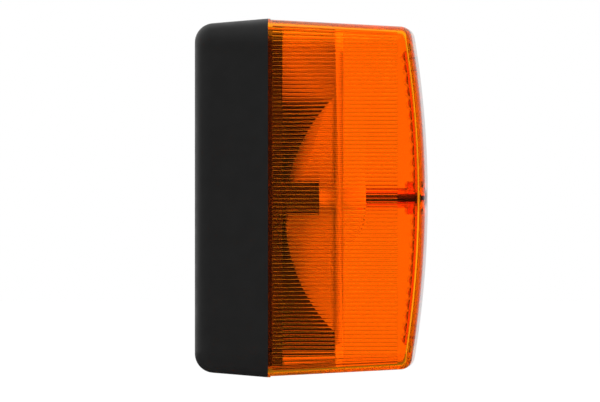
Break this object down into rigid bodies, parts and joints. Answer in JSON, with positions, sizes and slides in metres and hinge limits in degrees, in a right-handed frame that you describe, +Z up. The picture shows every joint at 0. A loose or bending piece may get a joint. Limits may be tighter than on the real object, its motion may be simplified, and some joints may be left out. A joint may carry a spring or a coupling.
{
  "type": "vehicle indicator lamp",
  "caption": "Amber vehicle indicator lamp with a fluted lens, black screw-on housing, trough reflector and bayonet bulb",
  "frame": {"origin": "Centre of the flat back face, the face that goes against the vehicle panel", "axes": "X leaves the panel and points out through the lens, Z is up along the long side of the lamp, Y runs across the lamp"},
  "size_m": [0.0848, 0.1, 0.13],
  "materials": {
    "black_moulding": "matte black moulded plastic with a fine grain",
    "amber_lens": "clear amber moulded plastic, polished",
    "black_rubber": "black rubber",
    "dark_steel": "darkened steel",
    "plated_steel": "zinc plated steel",
    "pale_moulding": "pale moulded plastic",
    "rivet_aluminium": "plain aluminium",
    "insulator_brown": "brown insulating board",
    "contact_brass": "plain brass strip",
    "clear_glass": "thin clear glass",
    "cap_brass": "drawn brass",
    "insulator_black": "black glassy insulator",
    "solder": "dull solder"
  },
  "bodies": {
    "root": {"housing": "black_moulding", "lens": "amber_lens", "lens_gasket": "black_rubber", "lens_screws": "dark_steel", "screw_seals": "black_rubber", "mounting_sleeves": "plated_steel", "reflector": "pale_moulding", "cable_grommet": "black_rubber", "socket_shell": "plated_steel", "socket_rivets": "rivet_aluminium", "socket_base": "insulator_brown", "live_contact": "contact_brass", "earth_terminal": "contact_brass", "bulb_glass": "clear_glass", "bulb_cap": "cap_brass", "bulb_pins": "cap_brass", "bulb_insulator": "insulator_black", "bulb_contact": "solder", "bulb_stem": "clear_glass", "bulb_leads": "plated_steel", "bulb_filament": "dark_steel"}
  },
  "joints": []
}
